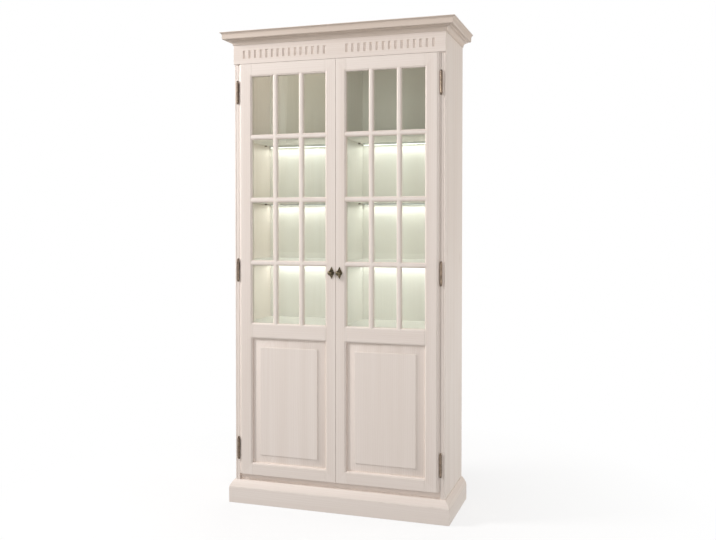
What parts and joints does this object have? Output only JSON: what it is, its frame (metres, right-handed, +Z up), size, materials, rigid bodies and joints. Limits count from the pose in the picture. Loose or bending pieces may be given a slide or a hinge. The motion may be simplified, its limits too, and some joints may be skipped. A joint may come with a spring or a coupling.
{
  "type": "curio cabinet",
  "caption": "Tall white-washed display cabinet with moulded cornice, fluted frieze and plinth, paned glass doors over raised wooden panels, lit shelves behind a centre partition.",
  "frame": {"origin": "on the floor, under the middle of the overall box", "axes": "+Z up, +Y from the front to the back, +X to the right as seen from the front"},
  "size_m": [1.0326, 0.3994, 2.05],
  "materials": {
    "white_pine": "white-washed pine, satin lacquer",
    "white_inside": "white-washed boards, satin lacquer",
    "antique_brass": "antique, darkened, rubbed bright on the edges",
    "dark_brass": "dark antique brass",
    "clear_glass": "clear float glass",
    "light_bar_metal": "satin anodised",
    "white_plastic": "matt moulded"
  },
  "bodies": {
    "cabinet": {"side_panel_left": "white_pine", "side_panel_right": "white_pine", "back_panel": "white_inside", "top_board": "white_pine", "bottom_board": "white_pine", "frieze_board": "white_pine", "cornice_front": "white_pine", "cornice_left": "white_pine", "cornice_right": "white_pine", "plinth_front": "white_pine", "plinth_left": "white_pine", "plinth_right": "white_pine", "centre_partition": "white_inside", "middle_floor_left": "white_inside", "middle_floor_right": "white_inside", "shelf_left_low": "white_inside", "shelf_right_low": "white_inside", "shelf_left_middle": "white_inside", "shelf_right_middle": "white_inside", "shelf_left_top": "white_inside", "shelf_right_top": "white_inside", "light_bar_left_low": "light_bar_metal", "light_bar_right_low": "light_bar_metal", "light_bar_left_middle": "light_bar_metal", "light_bar_right_middle": "light_bar_metal", "light_bar_left_top": "light_bar_metal", "light_bar_right_top": "light_bar_metal", "base_shelf_left": "white_inside", "base_shelf_right": "white_inside", "magnetic_catch": "white_plastic", "hinge_frame_left_top": "antique_brass", "hinge_frame_right_top": "antique_brass", "hinge_frame_left_middle": "antique_brass", "hinge_frame_right_middle": "antique_brass", "hinge_frame_left_bottom": "antique_brass", "hinge_frame_right_bottom": "antique_brass"},
    "door_left": {"door_left_hinge_stile": "white_pine", "door_left_lock_stile": "white_pine", "door_left_top_rail": "white_pine", "door_left_middle_rail": "white_pine", "door_left_bottom_rail": "white_pine", "door_left_glazing_bars": "white_pine", "door_left_glass": "clear_glass", "door_left_lower_panel": "white_pine", "door_left_knob": "dark_brass", "hinge_door_left_top": "antique_brass", "hinge_door_left_middle": "antique_brass", "hinge_door_left_bottom": "antique_brass"},
    "door_right": {"door_right_hinge_stile": "white_pine", "door_right_lock_stile": "white_pine", "door_right_top_rail": "white_pine", "door_right_middle_rail": "white_pine", "door_right_bottom_rail": "white_pine", "door_right_glazing_bars": "white_pine", "door_right_glass": "clear_glass", "door_right_lower_panel": "white_pine", "door_right_knob": "dark_brass", "hinge_door_right_top": "antique_brass", "hinge_door_right_middle": "antique_brass", "hinge_door_right_bottom": "antique_brass"}
  },
  "joints": [
    {"name": "door_left_swing", "type": "hinge", "parent": "cabinet", "child": "door_left", "pos_m": [-0.452, -0.15235, 1.0205], "axis": [0, 0, -1], "range_deg": [0, 170]},
    {"name": "door_right_swing", "type": "hinge", "parent": "cabinet", "child": "door_right", "pos_m": [0.452, -0.15235, 1.0205], "axis": [0, 0, 1], "range_deg": [0, 170]}
  ]
}
